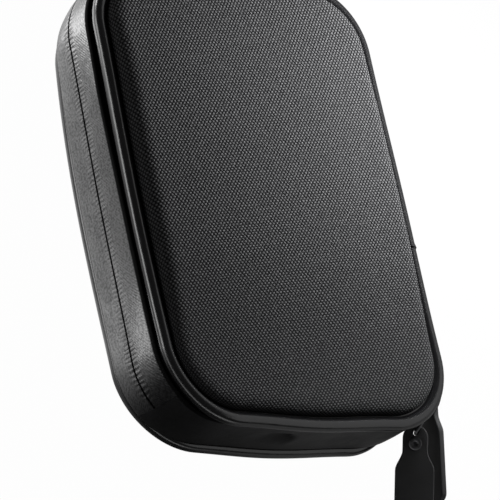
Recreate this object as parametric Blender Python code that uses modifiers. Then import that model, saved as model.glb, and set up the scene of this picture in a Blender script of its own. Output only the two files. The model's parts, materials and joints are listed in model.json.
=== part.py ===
"""A closed soft zip case: two crowned faces with piped rims, a wall that is a zip on three sides and a
fold on the fourth, and two zip sliders with rubber pull tabs.

The case lies on its back, in metres. X is its width, Y runs from the fold up to the top edge and Z points
out of the front. The origin is the middle of the flat of the rear face.
"""

import math

import bmesh
import bpy
from mathutils import Matrix, Vector

# Gap kept between pieces that touch
CLEARANCE = 0.0003

# Rims, measured on the centre lines of the two pipings
RIM_WIDTH = 0.107
RIM_LENGTH = 0.157
RIM_SPACING = 0.026
CORNER_RADIUS = 0.0233
SIDE_BOW = 0.0005
END_BOW = 0.0009

# Piping: a vinyl strip folded round a filler cord, with its two edges side by side as a flange
PIPING_RADIUS = 0.0023
PIPING_WALL = 0.0006
FLANGE_LENGTH = 0.007
PIPING_JOINT = 0.0004
PIPING_JOINT_Y = -0.0165

# Faces, measured out from the plane of their rim
FACE_CROWN = 0.0069
FACE_THICKNESS = 0.0007
SHOULDER_WIDTH = 0.007
SHOULDER_POWER = 3.0
FRONT_SWELL = 0.0008
SWELL_INSET = 0.012
LINING_THICKNESS = 0.0006
BINDING_THICKNESS = 0.0005

# Wall: the zip tapes, their coils and the fold panel
WALL_BULGE = 0.0036
TAPE_THICKNESS = 0.0007
PANEL_THICKNESS = 0.0009
COIL_RADIUS = 0.00075
ZIP_END_ANGLE = math.radians(36)

# Sliders
SLIDER_LENGTH = 0.0095
SLIDER_WIDTH = 0.008
SLIDER_PLATE = 0.0009
SLIDER_BEND_ROOM = 0.0006
NECK_WIDTH = 0.0008
NECK_LENGTH = 0.003
BRIDGE_HALF_LENGTH = 0.0022
BRIDGE_RISE = 0.0037
BRIDGE_RADIUS = 0.0006
SLIDER_SPACING = 0.013
LOWER_SLIDER_ANGLE = math.radians(25)

# Pull links: closed loops of wire between a slider's bridge and its tab
LINK_RADIUS = 0.00055
LINK_REACH = 0.0094
LINK_TOP_HALF_WIDTH = 0.0032
LINK_FOOT_HALF_WIDTH = 0.0029
LINK_CORNER = 0.0009
LINK_DROOP = math.radians(25)
LINK_PLAY = 0.0005
UPPER_LINK_LEAN = 0.0017
LOWER_LINK_LEAN = -0.0006

# Pull tabs, measured down from the top edge of their window
TAB_WIDTH = 0.013
TAB_NECK_WIDTH = 0.0084
TAB_THICKNESS = 0.0022
TAB_TOP_BAR = 0.0016
TAB_NECK_END = 0.0069
TAB_SHOULDER_END = 0.0135
TAB_END = 0.0362
TAB_CORNER = 0.003
WINDOW_WIDTH = 0.0028
WINDOW_LENGTH = 0.0022
EYELET_RADIUS = 0.0016
EYELET_HOLE_RADIUS = 0.00065
EYELET_PLACE = 0.0046
EYELET_LENGTH = 0.0026
UPPER_TAB_DROOP = math.radians(15.5)
LOWER_TAB_DROOP = math.radians(18.3)
LOWER_TAB_ROLL = math.radians(37.0)
UPPER_TAB_ROLL = math.radians(90.0)
UPPER_TAB_YAW = 0.0
LOWER_TAB_YAW = math.radians(-3.0)

# Steps along the rims and round the sections
ARC_STEPS = 6
SIDE_STEPS = 4
SHOULDER_STEPS = 5
PIPING_STEPS = 10
BORE_STEPS = 6
WRAP_STEPS = 3
WALL_STEPS = 4
ROUND_STEPS = 6
END_STEP = 0.02

# Worked out from the sizes above
REAR_RIM_Z = FACE_CROWN
FRONT_RIM_Z = REAR_RIM_Z + RIM_SPACING
HALF_SPACING = RIM_SPACING / 2
MID_Z = REAR_RIM_Z + HALF_SPACING
CORNER_X = RIM_WIDTH / 2 - CORNER_RADIUS
CORNER_Y = RIM_LENGTH / 2 - CORNER_RADIUS
FOLD_Y = -(RIM_LENGTH / 2 + END_BOW + WALL_BULGE)
FLANGE_HALF = PIPING_WALL + CLEARANCE / 2
FACE_EDGE = PIPING_RADIUS + CLEARANCE
FACE_BASE = FLANGE_HALF + CLEARANCE
LEG_EDGE = FACE_EDGE + FACE_THICKNESS + CLEARANCE
SHOULDER_END = FACE_EDGE + SHOULDER_WIDTH
BINDING_TOP = FACE_BASE + BINDING_THICKNESS
BINDING_EDGE = FLANGE_LENGTH + CLEARANCE + BINDING_THICKNESS
ZIP_SLOT_HALF = NECK_WIDTH / 2 + CLEARANCE
COIL_DEPTH = TAPE_THICKNESS + CLEARANCE + COIL_RADIUS
PLATE_OUT = SIDE_BOW + CLEARANCE
PLATE_IN = COIL_DEPTH + COIL_RADIUS + CLEARANCE + SLIDER_BEND_ROOM
BRIDGE_TOP = PLATE_OUT + SLIDER_PLATE + BRIDGE_RISE
LINK_AXIS_OUT = (PLATE_OUT + SLIDER_PLATE + BRIDGE_TOP - BRIDGE_RADIUS) / 2
ZIP_END = ZIP_END_ANGLE / (math.pi / 2)

# Colour, roughness and metallic value of each finish
WOVEN = ((0.045, 0.046, 0.048), 0.85, 0.0)
VINYL = ((0.012, 0.012, 0.013), 0.28, 0.0)
COATED_TAPE = ((0.05, 0.051, 0.054), 0.42, 0.0)
FOLD_FABRIC = ((0.02, 0.02, 0.021), 0.6, 0.0)
KNIT = ((0.03, 0.03, 0.032), 0.95, 0.0)
FOAM = ((0.04, 0.04, 0.042), 0.9, 0.0)
NYLON = ((0.02, 0.02, 0.022), 0.5, 0.0)
METAL = ((0.2, 0.2, 0.21), 0.35, 1.0)
RUBBER = ((0.04, 0.041, 0.044), 0.55, 0.0)


def make_collection(name):
    collection = bpy.data.collections.new(name)
    bpy.context.scene.collection.children.link(collection)
    return collection


for old in list(bpy.data.objects):
    bpy.data.objects.remove(old)
PARTS = make_collection("zip_case")
CUTTERS = make_collection("cutters")


# Objects, materials and places


def paint(obj, finish):
    colour, roughness, metallic = finish
    material = bpy.data.materials.new(obj.name)
    material.use_nodes = True
    shader = material.node_tree.nodes["Principled BSDF"]
    shader.inputs["Base Color"].default_value = (*colour, 1.0)
    shader.inputs["Roughness"].default_value = roughness
    shader.inputs["Metallic"].default_value = metallic
    obj.data.materials.clear()
    obj.data.materials.append(material)


def add_part(name, data, finish, parent=None, place=None):
    """Add one part at its place, riding on the empty that marks its joint."""
    obj = bpy.data.objects.new(name, data)
    PARTS.objects.link(obj)
    obj.matrix_world = place or Matrix()
    if parent:
        obj.parent = parent
        obj.matrix_parent_inverse = parent.matrix_basis.inverted()
    paint(obj, finish)
    return obj


def add_empty(name, place, parent=None):
    empty = bpy.data.objects.new(name, None)
    PARTS.objects.link(empty)
    empty.matrix_basis = place
    if parent:
        empty.parent = parent
        empty.matrix_parent_inverse = parent.matrix_basis.inverted()
    return empty


def frame(origin, x_axis, y_axis, z_axis):
    columns = Matrix((x_axis, y_axis, z_axis)).transposed().to_4x4()
    return Matrix.Translation(origin) @ columns


def finish_mesh(mesh, angle=math.radians(40)):
    mesh.shade_smooth()
    mesh.set_sharp_from_angle(angle=angle)
    return mesh


# The rim line


def rim_station(along):
    """Point and outward normal on the rim's centre line.

    Each whole number of along is one stretch, run anticlockwise from the foot of the right side: side,
    corner, top, corner, and so on round the case.
    """
    stretch = math.floor(along)
    part = along - stretch
    quarter = (stretch // 2) % 4
    long_side = quarter % 2 == 0
    reach = (RIM_WIDTH if long_side else RIM_LENGTH) / 2
    half = CORNER_Y if long_side else CORNER_X
    bow = SIDE_BOW if long_side else END_BOW
    if stretch % 2 == 0:
        s = 2 * part - 1
        point = Vector((reach + bow * (1 + math.cos(math.pi * s)) / 2, half * s))
        normal = Vector((half, bow * math.pi * math.sin(math.pi * s) / 2)).normalized()
    else:
        angle = part * math.pi / 2
        normal = Vector((math.cos(angle), math.sin(angle)))
        point = Vector((reach - CORNER_RADIUS, half)) + CORNER_RADIUS * normal
    turn = Matrix.Rotation(quarter * math.pi / 2, 2)
    return turn @ point, turn @ normal


def rim_steps(first, last):
    """Values of along on every stretch from first to last, finer round the corners."""
    values = []
    for stretch in range(math.floor(first), math.ceil(last)):
        steps = SIDE_STEPS if stretch % 2 == 0 else ARC_STEPS
        values += [stretch + i / steps for i in range(steps)]
    return values


def rim_run(first, last):
    """An open run along the rim, stepped finely at its ends so that they are cut square."""
    inner = [v for v in rim_steps(first, last) if first + END_STEP < v < last - END_STEP]
    return [first, first + END_STEP, *inner, last - END_STEP, last]


def rim_outline(inset):
    """The closed rim line moved inwards by inset."""
    stations = [rim_station(value) for value in RIM_LOOP]
    return [point - inset * normal for point, normal in stations]


RIM_LOOP = rim_steps(0, 8)
ZIP_RUN = rim_run(-ZIP_END, 5 + ZIP_END)
FOLD_GAP = CLEARANCE / (CORNER_RADIUS * math.pi / 2)
FOLD_RUN = rim_run(5 + ZIP_END + FOLD_GAP, 8 - ZIP_END - FOLD_GAP)
JOINT_PLACE = (PIPING_JOINT_Y / CORNER_Y + 1) / 2
JOINT_GAP = PIPING_JOINT / (4 * CORNER_Y)
PIPING_RUN = rim_run(JOINT_PLACE + JOINT_GAP, 8 + JOINT_PLACE - JOINT_GAP)


# Sections swept along the rim


def poly_curve(name, points, closed):
    curve = bpy.data.curves.new(name, "CURVE")
    curve.dimensions = "3D"
    curve.twist_mode = "Z_UP"
    spline = curve.splines.new("POLY")
    spline.points.add(len(points) - 1)
    for knot, point in zip(spline.points, points):
        knot.co = (*Vector(point).to_3d(), 1.0)
    spline.use_cyclic_u = closed
    return curve


def curve_mesh(name, curve):
    """The welded, closed mesh of a bevelled curve."""
    obj = bpy.data.objects.new(name, curve)
    CUTTERS.objects.link(obj)
    shape = obj.evaluated_get(bpy.context.evaluated_depsgraph_get())
    mesh = bpy.data.meshes.new_from_object(shape)
    bpy.data.objects.remove(obj)
    bm = bmesh.new()
    bm.from_mesh(mesh)
    bmesh.ops.remove_doubles(bm, verts=bm.verts, dist=1e-6)
    bmesh.ops.recalc_face_normals(bm, faces=bm.faces)
    bm.to_mesh(mesh)
    bm.free()
    return finish_mesh(mesh)


def sweep(name, section, run, closed=False):
    """Sweep a section of (outward, up) points along the rim."""
    path = poly_curve(name, [rim_station(value)[0] for value in run], closed)
    outline = bpy.data.objects.new(name + "_section", poly_curve(name, section, True))
    CUTTERS.objects.link(outline)
    path.bevel_mode = "OBJECT"
    path.bevel_object = outline
    path.use_fill_caps = True
    mesh = curve_mesh(name, path)
    bpy.data.objects.remove(outline)
    return mesh


def arc(radius, start, end, steps, centre=(0.0, 0.0)):
    angles = [start + (end - start) * i / steps for i in range(steps + 1)]
    return [(centre[0] + radius * math.cos(a), centre[1] + radius * math.sin(a)) for a in angles]


def band(line, thickness):
    """The outline of a strip of even thickness along a line."""
    left, right = [], []
    for i, point in enumerate(line):
        before = Vector(line[max(i - 1, 0)])
        after = Vector(line[min(i + 1, len(line) - 1)])
        across = (after - before).normalized().orthogonal() * thickness / 2
        left.append(Vector(point) + across)
        right.append(Vector(point) - across)
    return [tuple(p) for p in left + right[::-1]]


def piping_section():
    """The folded strip: a tube, slit where its two edges lie side by side as the flange."""
    slit = CLEARANCE / 2
    bore = PIPING_RADIUS - PIPING_WALL
    outer = math.pi - math.asin(FLANGE_HALF / PIPING_RADIUS)
    inner = math.pi - math.asin(slit / bore)
    edge = -FLANGE_LENGTH
    return (
        [(edge, FLANGE_HALF)]
        + arc(PIPING_RADIUS, outer, -outer, PIPING_STEPS)
        + [(edge, -FLANGE_HALF), (edge, -slit)]
        + arc(bore, -inner, inner, BORE_STEPS)
        + [(edge, slit)]
    )


def round_section(radius, out=0.0, up=0.0):
    return arc(radius, 0.0, 2 * math.pi, ROUND_STEPS, (out, up))[:-1]


def core_radius():
    flat_of_bore = (PIPING_RADIUS - PIPING_WALL) * math.cos(math.pi / BORE_STEPS)
    return flat_of_bore - CLEARANCE


def wall_section(thickness, slot_half):
    """Half of the wall: its edge in the seam, round under the piping, then out to the middle."""
    lip = -(FLANGE_HALF + CLEARANCE + thickness / 2)
    wrap = PIPING_RADIUS + CLEARANCE + thickness / 2
    start = math.pi + math.asin(-lip / wrap)
    line = [(-FLANGE_LENGTH, lip)] + arc(wrap, start, math.radians(282), WRAP_STEPS)
    first, last = 1.3 * wrap, HALF_SPACING - slot_half
    for i in range(WALL_STEPS + 1):
        depth = first + (last - first) * i / WALL_STEPS
        share = (HALF_SPACING - depth) / HALF_SPACING
        line.append((WALL_BULGE * (1 - share**2) - thickness / 2, -depth))
    return band(line, thickness)


def binding_section():
    """A strip folded round the flange and the edge of the wall, inside the case."""
    bottom = -(FLANGE_HALF + TAPE_THICKNESS + 3 * CLEARANCE + BINDING_THICKNESS)
    back = -(FLANGE_LENGTH + CLEARANCE)
    return [
        (-LEG_EDGE, FACE_BASE),
        (-LEG_EDGE, BINDING_TOP),
        (-BINDING_EDGE, BINDING_TOP),
        (-BINDING_EDGE, bottom),
        (-LEG_EDGE, bottom),
        (-LEG_EDGE, bottom + BINDING_THICKNESS),
        (back, bottom + BINDING_THICKNESS),
        (back, FACE_BASE),
    ]


def coil_section():
    up = -(HALF_SPACING - ZIP_SLOT_HALF - COIL_RADIUS)
    return round_section(COIL_RADIUS, WALL_BULGE - COIL_DEPTH, up)


# Crowned faces, pads and linings


def crown_rings(shrink, swell):
    """Inset and height of each ring, from the foot of the shoulder to the middle of the face."""
    width = SHOULDER_WIDTH - shrink
    height = FACE_CROWN - FACE_BASE - shrink
    rings = []
    for i in range(SHOULDER_STEPS + 1):
        angle = math.pi / 2 * i / SHOULDER_STEPS
        across = max(math.cos(angle), 0.0) ** (2 / SHOULDER_POWER)
        rise = math.sin(angle) ** (2 / SHOULDER_POWER)
        rings.append((SHOULDER_END - width * across, FACE_BASE + height * rise))
    if swell:
        rings.append((rings[-1][0] + SWELL_INSET, rings[-1][1] + swell))
    return rings


def outline_face(bm, inset, height):
    corners = [bm.verts.new((p.x, p.y, height)) for p in rim_outline(inset)]
    face = bm.faces.new(corners)
    face.normal_update()
    return face


def raise_rings(bm, face, rings):
    """Inset the face and lift it, ring by ring."""
    for (inset, height), (next_inset, next_height) in zip(rings, rings[1:]):
        bmesh.ops.inset_region(
            bm,
            faces=[face],
            thickness=next_inset - inset,
            depth=next_height - height,
            use_even_offset=True,
            use_boundary=True,
        )


def half_mesh(name, bm, half):
    """Turn a shape made on its rim plane into the front or the rear half's mesh."""
    rim, side = half
    bmesh.ops.transform(bm, matrix=Matrix.Diagonal((1, 1, side, 1)), verts=bm.verts)
    bmesh.ops.translate(bm, vec=(0, 0, rim), verts=bm.verts)
    if side < 0:
        bmesh.ops.reverse_faces(bm, faces=bm.faces)
    mesh = bpy.data.meshes.new(name)
    bm.to_mesh(mesh)
    bm.free()
    return finish_mesh(mesh)


def face_mesh(name, half, swell):
    rings = crown_rings(0.0, swell)
    bm = bmesh.new()
    raise_rings(bm, outline_face(bm, *rings[0]), rings)
    return half_mesh(name, bm, half)


def pad_mesh(name, half, swell):
    """The foam between the face and the lining, flat inside and crowned outside."""
    shrink = FACE_THICKNESS + CLEARANCE
    floor = BINDING_TOP + CLEARANCE
    rings = crown_rings(shrink, swell)
    rings[0] = (rings[0][0], floor)
    bm = bmesh.new()
    face = outline_face(bm, *rings[0])
    back = bmesh.ops.duplicate(bm, geom=[face])["face_map"][face]
    back.normal_flip()
    raise_rings(bm, face, rings)
    bmesh.ops.remove_doubles(bm, verts=bm.verts, dist=1e-6)
    return half_mesh(name, bm, half)


def lining_mesh(name, half):
    inset = BINDING_EDGE + CLEARANCE
    bm = bmesh.new()
    face = outline_face(bm, inset, BINDING_TOP)
    low = bmesh.ops.extrude_face_region(bm, geom=[face])
    bottom = [v for v in low["geom"] if isinstance(v, bmesh.types.BMVert)]
    bmesh.ops.translate(bm, vec=(0, 0, -LINING_THICKNESS), verts=bottom)
    bmesh.ops.recalc_face_normals(bm, faces=bm.faces)
    return half_mesh(name, bm, half)


def add_face(name, half, swell, parent):
    obj = add_part(name, face_mesh(name, half, swell), WOVEN, parent)
    shell = obj.modifiers.new("thickness", "SOLIDIFY")
    shell.thickness = FACE_THICKNESS
    shell.offset = -1.0
    shell.use_even_offset = True


def add_half(side_name, half, swell, parent):
    """Every piece of one half of the case."""
    rim, side = half

    def swept(name, section, run, finish, closed=False):
        turned = [(out, side * up) for out, up in section]
        mesh = sweep(name, turned, run, closed)
        mesh.transform(Matrix.Translation((0, 0, rim)))
        add_part(name, mesh, finish, parent)

    add_face(f"{side_name}_face", half, swell, parent)
    add_part(f"{side_name}_foam_pad", pad_mesh(f"{side_name}_foam_pad", half, swell), FOAM, parent)
    add_part(f"{side_name}_lining", lining_mesh(f"{side_name}_lining", half), KNIT, parent)
    swept(f"{side_name}_piping", piping_section(), PIPING_RUN, VINYL)
    swept(f"{side_name}_piping_core", round_section(core_radius()), RIM_LOOP, NYLON, closed=True)
    swept(f"{side_name}_seam_binding", binding_section(), RIM_LOOP, NYLON, closed=True)
    swept(f"{side_name}_zip_tape", wall_section(TAPE_THICKNESS, ZIP_SLOT_HALF), ZIP_RUN, COATED_TAPE)
    swept(f"{side_name}_zip_coil", coil_section(), ZIP_RUN, NYLON)
    swept(f"{side_name}_fold_panel", wall_section(PANEL_THICKNESS, CLEARANCE / 2), FOLD_RUN, FOLD_FABRIC)


# Sliders


def box_mesh(name, low, high, rounding=0.0):
    bm = bmesh.new()
    bmesh.ops.create_cube(bm, size=1.0)
    low, high = Vector(low), Vector(high)
    size = high - low
    bmesh.ops.transform(bm, matrix=Matrix.Diagonal((*size, 1)), verts=bm.verts)
    bmesh.ops.translate(bm, vec=(low + high) / 2, verts=bm.verts)
    if rounding:
        upright = [e for e in bm.edges if abs((e.verts[0].co - e.verts[1].co).x) > size.x / 2]
        bmesh.ops.bevel(
            bm, geom=upright, offset=rounding, segments=3, profile=0.5, affect="EDGES", material=-1
        )
    mesh = bpy.data.meshes.new(name)
    bm.to_mesh(mesh)
    bm.free()
    return mesh


def join_cutter(base, name, mesh):
    """Join a shape to a base object with a Boolean union."""
    cutter = bpy.data.objects.new(name, mesh)
    CUTTERS.objects.link(cutter)
    cutter.hide_render = True
    cutter.display_type = "WIRE"
    union = base.modifiers.new(name, "BOOLEAN")
    union.operation = "UNION"
    union.solver = "EXACT"
    union.object = cutter


def bridge_mesh(name):
    """The arch on the slider's outer plate that holds the pull link."""
    foot = PLATE_OUT + SLIDER_PLATE / 2
    knee = BRIDGE_TOP - BRIDGE_HALF_LENGTH / 2
    half = [(foot, -BRIDGE_HALF_LENGTH), (knee, -BRIDGE_HALF_LENGTH), (BRIDGE_TOP, -BRIDGE_HALF_LENGTH / 2)]
    points = half + [(x, -y) for x, y in reversed(half)]
    curve = poly_curve(name, [(x, y, 0.0) for x, y in points], False)
    curve.bevel_depth = BRIDGE_RADIUS
    curve.bevel_resolution = 1
    curve.use_fill_caps = True
    return curve_mesh(name, curve)


def slider_mesh():
    """Local X points out of the wall, Y up the zip. X = 0 is the outer face of the tape."""
    half_length, half_width = SLIDER_LENGTH / 2, SLIDER_WIDTH / 2
    overlap = SLIDER_PLATE / 2
    outer = box_mesh(
        "slider_plate",
        (PLATE_OUT, -half_length, -half_width),
        (PLATE_OUT + SLIDER_PLATE, half_length, half_width),
        half_width / 2,
    )
    inner = box_mesh(
        "slider_inner_plate",
        (-PLATE_IN - SLIDER_PLATE, -half_length, -half_width),
        (-PLATE_IN, half_length, half_width),
        half_width / 2,
    )
    neck = box_mesh(
        "slider_neck",
        (-PLATE_IN - overlap, half_length - 1.4 * NECK_LENGTH, -NECK_WIDTH / 2),
        (PLATE_OUT + overlap, half_length - 0.4 * NECK_LENGTH, NECK_WIDTH / 2),
    )
    base = bpy.data.objects.new("slider_base", outer)
    CUTTERS.objects.link(base)
    join_cutter(base, "slider_neck", neck)
    join_cutter(base, "slider_inner_plate", inner)
    join_cutter(base, "slider_bridge", bridge_mesh("slider_bridge"))
    shape = base.evaluated_get(bpy.context.evaluated_depsgraph_get())
    mesh = bpy.data.meshes.new_from_object(shape)
    bpy.data.objects.remove(base)
    return finish_mesh(mesh)


def slider_place(along):
    point, normal = rim_station(along)
    origin = (point + WALL_BULGE * normal).to_3d() + Vector((0, 0, MID_Z))
    return Matrix.Translation(origin) @ Matrix.Rotation(math.atan2(normal.y, normal.x), 4, "Z")


# Pull links and tabs


def rounded_loop(corners, radius):
    """A closed line through the corners, each one cut back and given a middle point."""
    points = []
    for i, corner in enumerate(corners):
        to_last = (corners[i - 1] - corner).normalized()
        to_next = (corners[(i + 1) % len(corners)] - corner).normalized()
        middle = corner + (to_last + to_next) * radius * 0.3
        points += [corner + to_last * radius, middle, corner + to_next * radius]
    return points


def link_curve(name, top, top_axis, foot, foot_axis):
    corners = [
        top + LINK_TOP_HALF_WIDTH * top_axis,
        top - LINK_TOP_HALF_WIDTH * top_axis,
        foot - LINK_FOOT_HALF_WIDTH * foot_axis,
        foot + LINK_FOOT_HALF_WIDTH * foot_axis,
    ]
    curve = poly_curve(name, rounded_loop(corners, LINK_CORNER), True)
    curve.twist_mode = "MINIMUM"
    curve.bevel_depth = LINK_RADIUS
    curve.bevel_resolution = 1
    return curve


def tab_outline():
    """The tab from its round top over its shoulders to its rounded foot, X across and Y up."""
    neck, half = TAB_NECK_WIDTH / 2, TAB_WIDTH / 2
    right = [(x, y) for x, y in arc(neck, math.pi / 2, 0.0, 5, (0.0, TAB_TOP_BAR - neck))]
    steps = 5
    for i in range(steps + 1):
        share = i / steps
        ease = share * share * (3 - 2 * share)
        down = TAB_NECK_END + (TAB_SHOULDER_END - TAB_NECK_END) * share
        right.append((neck + (half - neck) * ease, -down))
    right += arc(TAB_CORNER, 0.0, -math.pi / 2, 4, (half - TAB_CORNER, TAB_CORNER - TAB_END))
    return right + [(-x, y) for x, y in reversed(right) if x > 1e-9]


def window_outline():
    radius = WINDOW_LENGTH / 2
    side = WINDOW_WIDTH / 2 - radius
    right = arc(radius, math.pi / 2, -math.pi / 2, 4, (side, -radius))
    return right + [(-x, y) for x, y in reversed(right)]


def tab_curve(name):
    curve = bpy.data.curves.new(name, "CURVE")
    curve.dimensions = "2D"
    curve.fill_mode = "BOTH"
    curve.extrude = TAB_THICKNESS / 2
    hole = arc(EYELET_RADIUS + CLEARANCE, 0.0, 2 * math.pi, 10, (0.0, -EYELET_PLACE))[:-1]
    for outline in (tab_outline(), window_outline(), hole):
        spline = curve.splines.new("POLY")
        spline.points.add(len(outline) - 1)
        for knot, (x, y) in zip(spline.points, outline):
            knot.co = (x, y, 0.0, 1.0)
        spline.use_cyclic_u = True
    return curve


def add_eyelet(name, parent, place):
    """A plain ring, turned about the tab's own normal."""
    bm = bmesh.new()
    half = EYELET_LENGTH / 2
    outer = [(EYELET_RADIUS, half), (EYELET_RADIUS, -half)]
    inner = [(EYELET_HOLE_RADIUS, -half), (EYELET_HOLE_RADIUS, half)]
    corners = [bm.verts.new((x, 0.0, z)) for x, z in outer + inner]
    for i, corner in enumerate(corners):
        bm.edges.new((corner, corners[(i + 1) % len(corners)]))
    mesh = bpy.data.meshes.new(name)
    bm.to_mesh(mesh)
    bm.free()
    centre = place @ Matrix.Translation((0.0, -EYELET_PLACE, 0.0))
    obj = add_part(name, mesh, METAL, parent, centre)
    turn = obj.modifiers.new("turn", "SCREW")
    turn.steps = 10
    turn.render_steps = 10
    turn.use_merge_vertices = True
    turn.merge_threshold = 1e-5
    turn.use_normal_calculate = True
    turn.use_normal_flip = True


def add_puller(side_name, slider, tab_frame_axes, lean):
    """The link that hangs in a slider's bridge, and the tab on the link's foot."""
    place = slider.matrix_basis
    across, along = tab_frame_axes
    face = across.cross(-along)
    turn = place.to_3x3()
    down = turn @ Vector((lean, -LINK_REACH * math.cos(LINK_DROOP), -LINK_REACH * math.sin(LINK_DROOP)))
    top_axis = turn @ Vector((0.0, -math.sin(LINK_DROOP), math.cos(LINK_DROOP)))
    top = place @ Vector((LINK_AXIS_OUT, 0.0, 0.0))
    foot = top + down
    swing = add_empty(f"{side_name}_link_axis", Matrix.Translation(top), slider)
    curve = link_curve(f"{side_name}_pull_link", Vector(), top_axis, down, face)
    add_part(f"{side_name}_pull_link", curve, METAL, swing, Matrix.Translation(top))
    pivot = add_empty(f"{side_name}_tab_axis", Matrix.Translation(foot), swing)
    tab_place = frame(foot - along * (LINK_RADIUS + LINK_PLAY), across, -along, face)
    add_part(f"{side_name}_pull_tab", tab_curve(f"{side_name}_pull_tab"), RUBBER, pivot, tab_place)
    add_eyelet(f"{side_name}_tab_eyelet", pivot, tab_place)


def tab_axes(droop, roll, yaw):
    """Across and down directions of a tab that points to -Y, rolled up from flat, drooped and yawed."""
    turn = Matrix.Rotation(yaw, 3, "Z") @ Matrix.Rotation(droop, 3, "X") @ Matrix.Rotation(-roll, 3, "Y")
    return turn @ Vector((1.0, 0.0, 0.0)), turn @ Vector((0.0, -1.0, 0.0))


# The case

add_half("rear", (REAR_RIM_Z, -1), 0.0, None)
lid_axis = add_empty("lid_axis", Matrix.Translation((0.0, FOLD_Y, MID_Z)))
add_half("front", (FRONT_RIM_Z, 1), FRONT_SWELL, lid_axis)

lower_run = LOWER_SLIDER_ANGLE / (math.pi / 2)
upper_run = (SLIDER_SPACING - LOWER_SLIDER_ANGLE * (CORNER_RADIUS + WALL_BULGE)) / (2 * CORNER_Y)
slider = slider_mesh()
upper = add_part("upper_slider", slider, METAL, None, slider_place(upper_run))
corner_axis = add_empty("lower_slider_axis", Matrix.Translation((CORNER_X, -CORNER_Y, MID_Z)))
lower = add_part("lower_slider", slider, METAL, corner_axis, slider_place(-lower_run))
upper_axes = tab_axes(UPPER_TAB_DROOP, UPPER_TAB_ROLL, UPPER_TAB_YAW)
add_puller("upper", upper, upper_axes, UPPER_LINK_LEAN)
lower_axes = tab_axes(LOWER_TAB_DROOP, LOWER_TAB_ROLL, LOWER_TAB_YAW)
add_puller("lower", lower, lower_axes, LOWER_LINK_LEAN)
for leftover in list(CUTTERS.objects):
    leftover.hide_render = True
    leftover.display_type = "WIRE"
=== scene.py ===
"""Dress the zip case: woven crowned faces, glossy piping, coated zip tape and rubber pull tabs, on a pale floor."""

import json
import math

import bmesh
import bpy
from bpy.props import FloatProperty, FloatVectorProperty, PointerProperty
from mathutils import Matrix, Vector


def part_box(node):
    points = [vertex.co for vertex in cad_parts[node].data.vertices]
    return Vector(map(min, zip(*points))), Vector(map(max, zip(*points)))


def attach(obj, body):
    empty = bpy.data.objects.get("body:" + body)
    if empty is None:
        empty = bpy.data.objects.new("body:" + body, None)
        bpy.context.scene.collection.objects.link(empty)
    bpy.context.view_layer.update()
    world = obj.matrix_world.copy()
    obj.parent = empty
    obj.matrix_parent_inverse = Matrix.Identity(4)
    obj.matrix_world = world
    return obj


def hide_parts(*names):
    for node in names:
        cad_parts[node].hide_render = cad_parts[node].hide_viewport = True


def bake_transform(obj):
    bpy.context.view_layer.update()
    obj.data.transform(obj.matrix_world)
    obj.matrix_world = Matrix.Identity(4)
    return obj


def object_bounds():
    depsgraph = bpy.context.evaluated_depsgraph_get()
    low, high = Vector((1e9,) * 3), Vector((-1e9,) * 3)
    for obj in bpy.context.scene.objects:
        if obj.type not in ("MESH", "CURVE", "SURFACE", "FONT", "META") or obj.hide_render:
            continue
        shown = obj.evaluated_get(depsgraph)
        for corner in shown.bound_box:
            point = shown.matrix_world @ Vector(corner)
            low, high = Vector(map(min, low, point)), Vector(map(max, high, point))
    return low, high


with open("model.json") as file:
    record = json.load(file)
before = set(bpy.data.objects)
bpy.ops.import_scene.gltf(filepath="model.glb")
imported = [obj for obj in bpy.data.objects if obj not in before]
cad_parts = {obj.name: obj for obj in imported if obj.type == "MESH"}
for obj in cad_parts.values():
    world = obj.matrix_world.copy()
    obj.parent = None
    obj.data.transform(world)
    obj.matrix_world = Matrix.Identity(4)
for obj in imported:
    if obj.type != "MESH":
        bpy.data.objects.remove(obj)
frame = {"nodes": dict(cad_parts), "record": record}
CAD_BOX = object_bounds()

bl_info = {
    "name": "Zip Case",
    "version": (1, 0, 0),
    "blender": (4, 5, 0),
    "location": "View3D > Sidebar > Zip Case",
    "description": "Dresses a soft zip case over its fixed frame",
    "category": "Object",
}

# Sizes read from the frame
PIPING_LOW, PIPING_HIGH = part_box("front_piping")
REAR_PIPING_LOW, REAR_PIPING_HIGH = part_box("rear_piping")
FACE_LOW, FACE_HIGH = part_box("front_face")
REAR_FACE_LOW, REAR_FACE_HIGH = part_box("rear_face")
LINING_LOW, LINING_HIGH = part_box("front_lining")
BINDING_LOW, BINDING_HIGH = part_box("front_seam_binding")
TAPE_LOW, TAPE_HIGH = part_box("front_zip_tape")
COIL_LOW, COIL_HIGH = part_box("front_zip_coil")
PIPING_RADIUS = (PIPING_HIGH[2] - PIPING_LOW[2]) / 2
FRONT_RIM_Z = (PIPING_HIGH[2] + PIPING_LOW[2]) / 2
REAR_RIM_Z = (REAR_PIPING_HIGH[2] + REAR_PIPING_LOW[2]) / 2
HALF_SPACING = (FRONT_RIM_Z - REAR_RIM_Z) / 2
MID_Z = (FRONT_RIM_Z + REAR_RIM_Z) / 2
FACE_BASE = FACE_LOW[2] - FRONT_RIM_Z
REAR_CROWN = REAR_RIM_Z - REAR_FACE_LOW[2]
FRONT_SWELL = FACE_HIGH[2] - FRONT_RIM_Z - REAR_CROWN
WALL_BULGE = TAPE_HIGH[0] - PIPING_HIGH[0] + PIPING_RADIUS
ZIP_SLOT_HALF = TAPE_LOW[2] - MID_Z
COIL_RADIUS = (COIL_HIGH[2] - COIL_LOW[2]) / (2 * math.sin(math.radians(60)))
JOINTS = {joint["name"]: joint for joint in frame["record"]["behaviour"]["joints"]}
HALVES = {
    "rear": ("rear_half", REAR_RIM_Z, -1, 0.0),
    "front": ("front_half", FRONT_RIM_Z, 1, FRONT_SWELL),
}
CLEARANCE = 0.0003
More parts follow.
